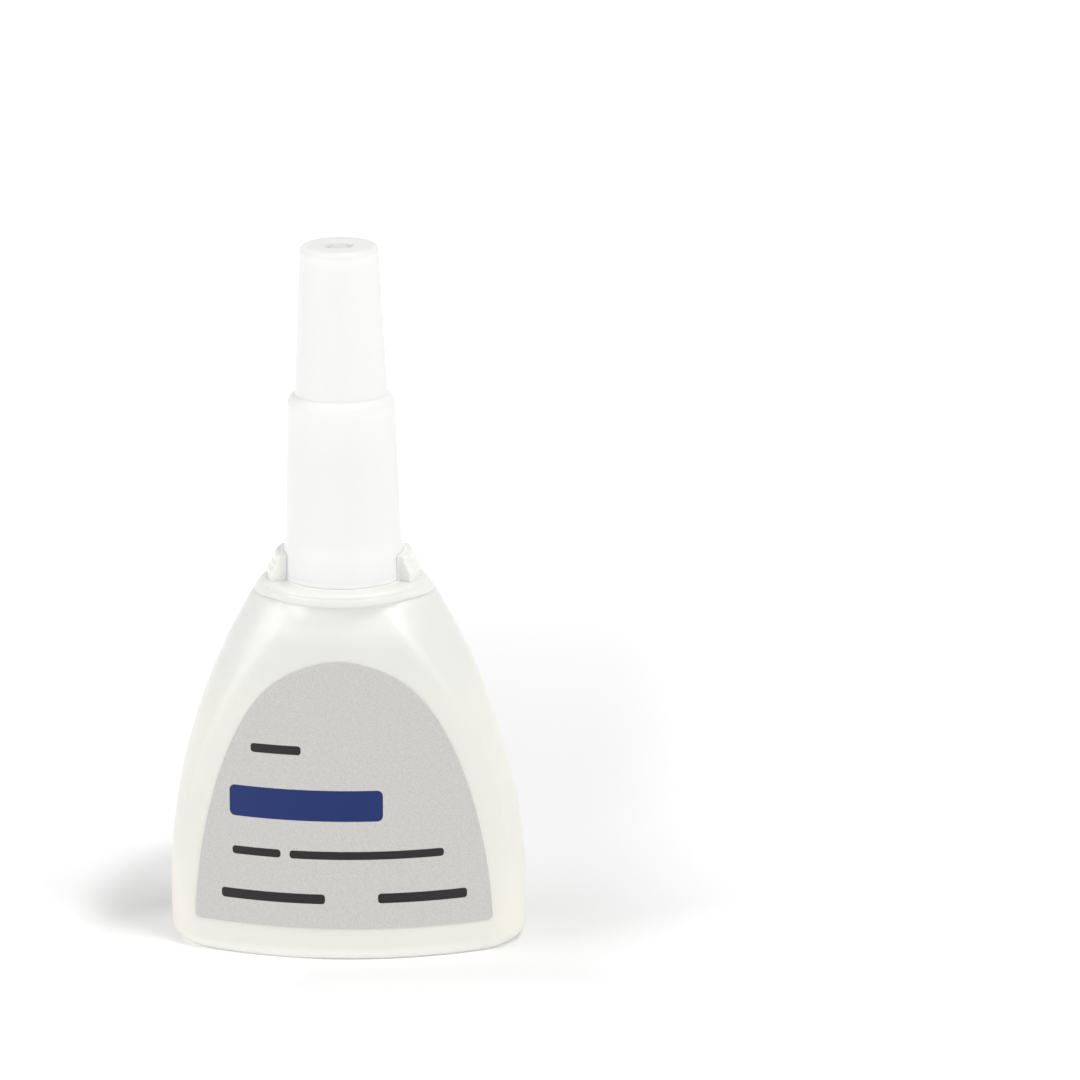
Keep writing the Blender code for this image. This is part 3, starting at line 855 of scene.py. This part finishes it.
def nozzlePlastic():
    made, tree, shader = newMaterial("nozzlePolyethylene")
    spot = millimetres(tree)[0]
    cloud = noise(tree, spot, nozzle["cloudSize"], detail=3.0)
    colour = blendColours(tree, cloud, *nozzle["colours"])
    drawn = noise(tree, stretched(tree, spot, nozzle["drawnStretch"]), 1.0)
    rough = spreadOver(tree, drawn, *nozzle["roughness"])
    skin = raised(tree, drawn, nozzle["drawnHeight"])
    connect(tree, shader, {"Base Color": colour, "Roughness": rough, "Normal": skin})
    setPlastic(shader, weight=0.6, scale=0.0015, radius=(1.0, 0.97, 0.88), index=1.51)
    return made


nozzlePiece = makeNozzle(nozzlePlastic())
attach(nozzlePiece, "bottle")
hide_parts("nozzle")
print("nozzle made")


# Cap
cap = {
    "rimAt": 45.43,
    "rimRadius": 7.10,
    "band": 0.22,  # how far the lowest band stands out
    "bandTop": 50.2,
    "bandSlope": 1.3,
    "wall": 1.05,
    "leadWidth": 0.35,  # bevel inside the rim, up to where the thread's wall starts
    "leadHeight": 0.5,
    "threadReach": 10.0,  # top of that wall, above the rim
    "wallSlack": 0.01,  # a point this near to the bore is on that wall
    "stepAt": 66.80,
    "lowerDraft": 0.0275,
    "stepRadius": 1.45,
    "upperFoot": 5.64,
    "footHalf": 0.01,  # the crisp corner at the upper stage's foot
    "footBelow": 0.02,
    "footAbove": 0.15,
    "topAt": 86.33,
    "upperDraft": 0.049,
    "upperWall": 0.9,
    "topThickness": 1.9,
    "topEdge": 0.7,
    "dimpleMouth": 1.80,
    "dimpleFloor": 1.45,
    "dimpleDepth": 0.75,
    "pinHole": 0.42,
    "innerStepAt": 62.85,
    "steps": 160,
    "arcSteps": 10,
    "threadRows": 76,
    "colours": ((0.845, 0.845, 0.835), (0.865, 0.865, 0.857)),
    "cloudSize": 7.0,
    "paintedShadeColour": (0.780, 0.778, 0.768),  # painted shade on the step, on the top's edge and over the top
    "dimpleShadeColour": (0.740, 0.735, 0.722),
    "rimLightColour": (0.975, 0.975, 0.970),
    # where they lie, given as for the flask
    "rimLightRise": (0.67, 0.17),  # height above rimAt
    "stepShadeRise": (-0.2, 0.6, 0.0, 0.6),  # heights above stepAt
    "stepShadeEnd": (1.6, 1.3),
    "topShadeDrop": (1.1, 0.3),  # depths below topAt
    "dimpleShadeDrop": (2.33, 1.33),
    "dimpleShadeReach": (2.1, 1.8),
    "roughness": (0.42, 0.54),
    "grainSize": 0.35,
    "grainHeight": 0.008,
    "flowStretch": (0.8, 0.8, 16.0),
    "flowHeight": 0.008,
}
capThread = {
    "from": 47.65,
    "lead": 3.0,
    "starts": 2,
    "turns": 2.0,
    "height": 0.58,
    "footHalf": 0.34,
    "crestHalf": 0.12,
    "runOut": 0.10,
}


def makeCap(look):
    c = cap
    stepAt = c["stepAt"]
    stepFoot = c["rimRadius"] - c["lowerDraft"] * (stepAt - c["rimAt"])
    centre = stepFoot - c["stepRadius"]
    stepTurn = math.acos((c["upperFoot"] - centre) / c["stepRadius"])
    footAt = stepAt + c["stepRadius"] * math.sin(stepTurn)
    topAt = c["topAt"]
    topRadius = c["upperFoot"] - c["upperDraft"] * (topAt - footAt)
    ceiling = topAt - c["topThickness"]
    bore = c["rimRadius"] - c["wall"]
    bandOut = c["rimRadius"] + c["band"]
    bandLean = c["lowerDraft"] * (c["bandTop"] - c["rimAt"])
    threadFoot, threadTop = c["rimAt"] + c["leadHeight"], c["rimAt"] + c["threadReach"]
    boreTop = bore - c["lowerDraft"] * c["threadReach"]

    outside = softCorners([
        (bore + c["leadWidth"], c["rimAt"], 0),
        (bandOut, c["rimAt"], 0.1),
        (bandOut - bandLean, c["bandTop"] - c["bandSlope"], 0.9),
        (c["rimRadius"] - bandLean, c["bandTop"], 0.9),
        (stepFoot, stepAt, 0),
    ], closed=False)
    for i in range(1, c["arcSteps"]):
        turn = stepTurn * i / c["arcSteps"]
        out, up = c["stepRadius"] * math.cos(turn), c["stepRadius"] * math.sin(turn)
        outside.append((centre + out, stepAt + up))
    outside += softCorners([
        (c["upperFoot"] + c["footHalf"], footAt - c["footBelow"], 0),
        (c["upperFoot"] - c["footHalf"], footAt + c["footAbove"], 0.1),
        (topRadius, topAt, c["topEdge"]),
        (c["dimpleMouth"], topAt, 0.25),
        (c["dimpleFloor"], topAt - c["dimpleDepth"], 0.2),
        (c["pinHole"], topAt - c["dimpleDepth"], 0),
        (c["pinHole"], ceiling, 0.1),
        (topRadius - c["upperWall"], ceiling, 0.5),
        (c["upperFoot"] - c["upperWall"], c["innerStepAt"] + c["upperWall"], 0.3),
        (bore - c["lowerDraft"] * (c["innerStepAt"] - c["rimAt"]), c["innerStepAt"], 0.3),
        (boreTop, threadTop, 0),
    ], steps=6, closed=False)
    inside = splitRun((boreTop, threadTop), (bore, threadFoot), c["threadRows"])[1:]
    inside.append((bore, threadFoot))

    def threaded(angle, r, z):
        if r < bore + c["wallSlack"] and threadFoot < z < threadTop:
            return r - threadHeight(angle, z, capThread)
        return r

    return turned("twoStageCap", outside + inside, c["steps"], look, threaded)


def frostedPlastic():
    made, tree, shader = newMaterial("frostedPolypropylene")
    spot, axes = millimetres(tree)
    aboveRim, aboveStep = [maths(tree, "SUBTRACT", axes["Z"], cap[name]) for name in ("rimAt", "stepAt")]
    drop = maths(tree, "SUBTRACT", cap["topAt"], axes["Z"])
    cloud = noise(tree, spot, cap["cloudSize"], detail=3.0)
    colour = blendColours(tree, cloud, *cap["colours"])
    # painted shade: the upward-facing step, the top's edge and the top darkened
    step = patch(tree, cap, (aboveStep, "stepShadeRise"), (aboveStep, "stepShadeEnd"))
    paintedShade = maths(tree, "MAXIMUM", patch(tree, cap, (drop, "topShadeDrop")), step)
    colour = blendColours(tree, paintedShade, colour, cap["paintedShadeColour"])
    # painted shade: the dimple on the cap's top darker
    dimpleShade = patch(tree, cap, (axisDistance(tree, spot), "dimpleShadeReach"), (drop, "dimpleShadeDrop"))
    colour = blendColours(tree, dimpleShade, colour, cap["dimpleShadeColour"])
    # painted light: the rim's lowest edge lighter, against the shade in the gap above the ring
    colour = blendColours(tree, patch(tree, cap, (aboveRim, "rimLightRise")), colour, cap["rimLightColour"])

    grain = noise(tree, spot, cap["grainSize"], rough=0.6)
    rough = spreadOver(tree, grain, *cap["roughness"])
    flow = noise(tree, stretched(tree, spot, cap["flowStretch"]), 1.0)
    skin = raised(tree, flow, cap["flowHeight"], raised(tree, grain, cap["grainHeight"]))
    connect(tree, shader, {"Base Color": colour, "Roughness": rough, "Normal": skin})
    setPlastic(shader, weight=0.5, scale=0.0015, radius=(1.0, 1.0, 0.95), index=1.49)
    return made


capPiece = makeCap(frostedPlastic())
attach(capPiece, "cap")
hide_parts("cap_shell")
print("cap made,", len(capPiece.data.polygons), "faces")


# Pin
pin = {
    "radius": 0.40,
    "tipAt": 77.43,
    "point": 0.8,
    "pointFlat": (0.45, 0.2),  # where its slope starts, as shares of radius and point
    "headRadius": 1.15,
    "headHeight": 0.40,
    "headAt": 85.78,
    "headEdge": 0.5,  # top of the head's upright edge, as a share of its height
    "headCrown": (0.75, 0.85),  # a point of its crown, as shares of headRadius and headHeight
    "steps": 64,
    "colours": ((0.68, 0.68, 0.67), (0.76, 0.76, 0.75)),
    "stainSize": 0.7,
    "roughness": (0.44, 0.56),
    "markPace": 70.0,  # turning marks, in radians for each millimetre
    "markHeight": 0.002,
}


def makePin(look):
    p = pin
    flatRadius, flatRise = p["pointFlat"]
    crownRadius, crownRise = p["headCrown"]
    profile = softCorners([
        (0, p["tipAt"], 0),
        (p["radius"] * flatRadius, p["tipAt"] + p["point"] * flatRise, 0.1),
        (p["radius"], p["tipAt"] + p["point"], 0.3),
        (p["radius"], p["headAt"], 0.05),
        (p["headRadius"], p["headAt"], 0.08),
        (p["headRadius"], p["headAt"] + p["headHeight"] * p["headEdge"], 0.12),
        (p["headRadius"] * crownRadius, p["headAt"] + p["headHeight"] * crownRise, 0.3),
        (0, p["headAt"] + p["headHeight"], 0),
    ])
    return turned("steelPin", profile, p["steps"], look)


def turnedSteel():
    made, tree, shader = newMaterial("turnedSteel")
    spot, axes = millimetres(tree)
    along = maths(tree, "ADD", axisDistance(tree, spot), axes["Z"])
    marks = maths(tree, "SINE", maths(tree, "MULTIPLY", along, pin["markPace"]))
    stain = noise(tree, spot, pin["stainSize"], detail=3.0, rough=0.6)
    colour = blendColours(tree, stain, *pin["colours"])
    rough = spreadOver(tree, stain, *pin["roughness"])
    skin = raised(tree, marks, pin["markHeight"])
    connect(tree, shader, {"Base Color": colour, "Roughness": rough, "Normal": skin})
    setShader(shader, {"Metallic": 1.0})
    return made


pinPiece = makePin(turnedSteel())
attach(pinPiece, "pin")
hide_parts("sealing_pin")
print("pin made")


# Label
label = {
    "halfWidth": 18.08,
    "offset": -0.10,  # stuck on a little off the middle
    "foot": 4.0,  # height of its lower edge
    "corner": 0.5,  # rounding of its lower corners
    "height": 32.87,
    "risePower": 1.64,  # both powers at 2 make an ellipse, more of either is squarer
    "widthPower": 2.456,
    "topPower": 16,  # how late its width power falls to an ellipse's
    "topReach": 0.995,  # how near to the arch's very top the last row lies
    "thickness": 0.12,
    "sunk": 0.7,  # how far into the flask's parting line, as a share of its height
    "rows": 64,
    "columns": 48,
    "sharpEdge": 60.0,  # degrees
    "filmColours": ((0.485, 0.478, 0.460), (0.625, 0.618, 0.595)),
    "grainSize": 0.16,
    "grainRange": (0.25, 0.75),
    "grainHeight": 0.004,
    "shadeColour": (0.540, 0.532, 0.510),
    "shadeSize": 5.0,
    "shadeShare": 0.25,
    "roughness": (0.46, 0.60),
    "coreColours": ((0.74, 0.735, 0.71), (0.86, 0.855, 0.83)),
    "fibreSize": 0.12,
    "coreRoughness": (0.6, 0.75),
    "inks": {"blue": (0.002, 0.018, 0.120), "dark": (0.010, 0.009, 0.009)},
    "inkBlur": 0.03,
    "inkWobble": 0.04,
    "inkHeight": 0.008,
    "inkGloss": 0.12,  # how much smoother than the film
    # plain printed bars: middle across, middle up, half-width, half-height, corner, and ink
    "bars": (
        (-4.3, 19.1, 9.4, 1.9, 0.7, "blue"),
        (-7.9, 25.8, 3.1, 0.55, 0.4, "dark"),
        (-10.4, 13.0, 3.0, 0.5, 0.4, "dark"),
        (3.0, 13.0, 9.3, 0.5, 0.4, "dark"),
        (-8.4, 7.6, 6.4, 0.6, 0.4, "dark"),
        (9.7, 7.7, 5.3, 0.6, 0.4, "dark"),
    ),
}


# Distance from the middle plane to the flask's front, at x and z, found by halving
def flaskFrontAt(x, z):
    low, high = 0.0, math.pi / 2
    for _ in range(halvings):
        middle = (low + high) / 2
        if outlineRadius(middle, z) * math.cos(middle) > abs(x):
            low = middle
        else:
            high = middle
    return outlineRadius(high, z) * math.sin(high)


# One face of the label, lift above the flask: rows of vertices from its foot to its top
def labelSkin(bm, lift):
    skin = []
    for j in range(label["rows"] + 1):
        share = math.sin(math.pi / 2 * label["topReach"] * j / label["rows"])
        z = label["foot"] + label["height"] * share
        power = label["widthPower"] + (2 - label["widthPower"]) * share ** label["topPower"]
        width = label["halfWidth"] * (1 - share ** label["risePower"]) ** (1 / power)
        row = []
        for i in range(label["columns"] + 1):
            x = width * math.sin(math.pi / 2 * (2 * i / label["columns"] - 1))
            into = max(abs(x) - label["halfWidth"] + label["corner"], 0) if j == 0 else 0
            up = z + label["corner"] - math.sqrt(label["corner"] ** 2 - into**2)
            x += label["offset"]
            row.append(bm.verts.new((x * mm, -(flaskFrontAt(x, up) + lift) * mm, up * mm)))
        skin.append(row)
    return skin


def makeLabel(looks):
    bm = bmesh.new()
    rest = flask["seam"] * label["sunk"]
    skins = [labelSkin(bm, lift) for lift in (-rest, label["thickness"] - rest)]
    for skin in skins:
        for lower, upper in zip(skin, skin[1:]):
            for i in range(label["columns"]):
                bm.faces.new((lower[i], lower[i + 1], upper[i + 1], upper[i]))
    borders = []
    for skin in skins:
        right = [row[-1] for row in skin[1:]]
        left = [row[0] for row in reversed(skin[1:-1])]
        borders.append(skin[0] + right + skin[-1][-2::-1] + left)
    under, over = borders
    for i in range(len(under)):
        edge = bm.faces.new((under[i - 1], under[i], over[i], over[i - 1]))
        edge.material_index = 1
    return finish("archLabel", bm, looks, label["sharpEdge"])


# 1 inside a round-cornered bar, 0 outside; spots, middle and halves go across, then up
def barShape(tree, spots, middle, halves, corner):
    squares = []
    for spot, centre, half in zip(spots, middle, halves):
        away = maths(tree, "ABSOLUTE", maths(tree, "SUBTRACT", spot, centre))
        past = maths(tree, "MAXIMUM", maths(tree, "SUBTRACT", away, half - corner), 0)
        squares.append(maths(tree, "MULTIPLY", past, past))
    reach = maths(tree, "SQRT", maths(tree, "ADD", *squares))
    return ramp(tree, reach, corner + label["inkBlur"], corner - label["inkBlur"])


def silverFilm():
    made, tree, shader = newMaterial("silverLabelFilm")
    spot, axes = millimetres(tree)
    fine = noise(tree, spot, label["grainSize"], rough=0.7)
    colour = blendColours(tree, ramp(tree, fine, *label["grainRange"]), *label["filmColours"])
    shade = maths(tree, "MULTIPLY", noise(tree, spot, label["shadeSize"]), label["shadeShare"])
    colour = blendColours(tree, shade, colour, label["shadeColour"])
    wobble = maths(tree, "MULTIPLY", maths(tree, "SUBTRACT", fine, 0.5), label["inkWobble"])
    spots = [maths(tree, "ADD", axes[name], wobble) for name in "XZ"]
    shapes = []
    for x, z, halfWidth, halfHeight, corner, ink in label["bars"]:
        shapes.append(barShape(tree, spots, (x, z), (halfWidth, halfHeight), corner))
        colour = blendColours(tree, shapes[-1], colour, label["inks"][ink])
    printed = combined(tree, "MAXIMUM", *shapes)
    rough = spreadOver(tree, fine, *label["roughness"])
    rough = maths(tree, "SUBTRACT", rough, maths(tree, "MULTIPLY", printed, label["inkGloss"]))
    skin = raised(tree, printed, label["inkHeight"], raised(tree, fine, label["grainHeight"]))
    connect(tree, shader, {"Base Color": colour, "Roughness": rough, "Normal": skin})
    setShader(shader, {"Specular IOR Level": 0.35, "IOR": 1.48})
    return made


def filmEdge():
    made, tree, shader = newMaterial("labelFilmCore")
    fibre = noise(tree, millimetres(tree)[0], label["fibreSize"], rough=0.6)
    colour = blendColours(tree, fibre, *label["coreColours"])
    rough = spreadOver(tree, fibre, *label["coreRoughness"])
    connect(tree, shader, {"Base Color": colour, "Roughness": rough})
    return made


labelPiece = makeLabel([silverFilm(), filmEdge()])
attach(labelPiece, "bottle")
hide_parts("front_label")
print("label made")


# Floor and light
studio = {
    "floorSize": 6000.0,
    "floorColours": ((0.894,) * 3, (0.906,) * 3),
    "fibreSize": 1.2,
    # light that the floor gives off, seen by the camera only, so that it reads as white; shaped around the
    # base, it also lightens the bottle's shadow and paints light along the base's edge:
    # from here, to here, at the first, at the second
    "shadowSpot": (-18.0, 14.0, 0.0),
    "shadowStretch": (1.0, 1.9, 1.0),
    "shadowLift": (10.0, 18.5, 0.0, 0.18),
    "shadowSide": (0.0, -15.0),
    "endLift": (2.8, 1.3, 0.0, 0.13),
    "endSide": (-15.0, -20.0),
    "frontLift": (-15.0, -28.0, 0.0, 0.09),
    "rightLift": (24.0, 50.0, 0.0, 0.14),
    "foot": (20.0, 10.9, 2.3),  # half-width, half-depth and power of the base's own outline
    "footLift": (1.12, 0.98, 0.0, 0.30),
    "farLift": (50.0, 320.0, 0.0, 0.40),
    "worldLight": 0.552,  # as light; it is seen at 1
    "lampAim": (0, 0, 0.04),  # metres
    # name, place in metres, size in metres, strength in watts
    "lamps": (
        ("highSoftbox", (0.478, -0.299, 1.06), 0.50, 5.45),
        ("leftSoftbox", (-1.133, -0.458, 0.445), 0.80, 6.4),
        ("rightSoftbox", (0.86, -0.83, 0.365), 0.40, 2.7),
    ),
}


# 1 for camera, glossy and transmission rays, else 0
def seenRays(tree):
    path = addNode(tree, "ShaderNodeLightPath").outputs
    rays = [path[f"Is {kind} Ray"] for kind in ("Camera", "Glossy", "Transmission")]
    return combined(tree, "MAXIMUM", *rays)


def makeFloor():
    bm = bmesh.new()
    bmesh.ops.create_grid(bm, x_segments=2, y_segments=2, size=studio["floorSize"] / 2 * mm)
    made, tree, shader = newMaterial("paleFloor")
    spot, axes = millimetres(tree)
    x, y = axes["X"], axes["Y"]
    fibre = noise(tree, spot, studio["fibreSize"], detail=3.0, rough=0.6)
    colour = blendColours(tree, fibre, *studio["floorColours"])

    far = patch(tree, studio, (distance(tree, spot), "farLift"))
    fromShadow = distance(tree, stretched(tree, spot, studio["shadowStretch"], studio["shadowSpot"]))
    shadow = patch(tree, studio, (fromShadow, "shadowLift"), (x, "shadowSide"))
    front = ramp(tree, y, *studio["frontLift"], smooth=False)
    right = patch(tree, studio, (x, "rightLift"))
    shares = []
    for place, half in ((x, studio["foot"][0]), (y, studio["foot"][1])):
        share = maths(tree, "DIVIDE", maths(tree, "ABSOLUTE", place), half)
        shares.append(maths(tree, "POWER", share, studio["foot"][2]))
    foot = maths(tree, "ADD", *shares)
    end = patch(tree, studio, (foot, "endLift"), (x, "endSide"))
    around = combined(tree, "MAXIMUM", shadow, right, front)
    lift = combined(tree, "ADD", far, around, end, patch(tree, studio, (foot, "footLift")))
    lift = maths(tree, "MULTIPLY", seenRays(tree), lift)
    connect(tree, shader, {"Base Color": colour, "Emission Strength": lift})
    setShader(shader, {"Roughness": 0.9, "Specular IOR Level": 0.0, "Emission Color": (1, 1, 1, 1)})
    finish("paleFloor", bm, made)


def makeWorld():
    world = bpy.data.worlds.new("softWhite")
    bpy.context.scene.world = world
    world.use_nodes = True
    tree = world.node_tree
    back = tree.nodes["Background"]
    setShader(back, {"Color": (1, 1, 1, 1)})
    strength = ramp(tree, seenRays(tree), 0, 1, studio["worldLight"], smooth=False)
    connect(tree, back, {"Strength": strength})


def makeLamps():
    for name, place, size, power in studio["lamps"]:
        data = bpy.data.lights.new(name, "AREA")
        data.shape = "SQUARE"
        data.size = size
        data.energy = power
        lamp = addObject(name, data)
        lamp.location = place
        aim = Vector(studio["lampAim"]) - Vector(place)
        lamp.rotation_euler = aim.to_track_quat("-Z", "Y").to_euler()


makeFloor()
makeWorld()
makeLamps()
bpy.context.scene.view_settings.view_transform = "Standard"
print("studio set")
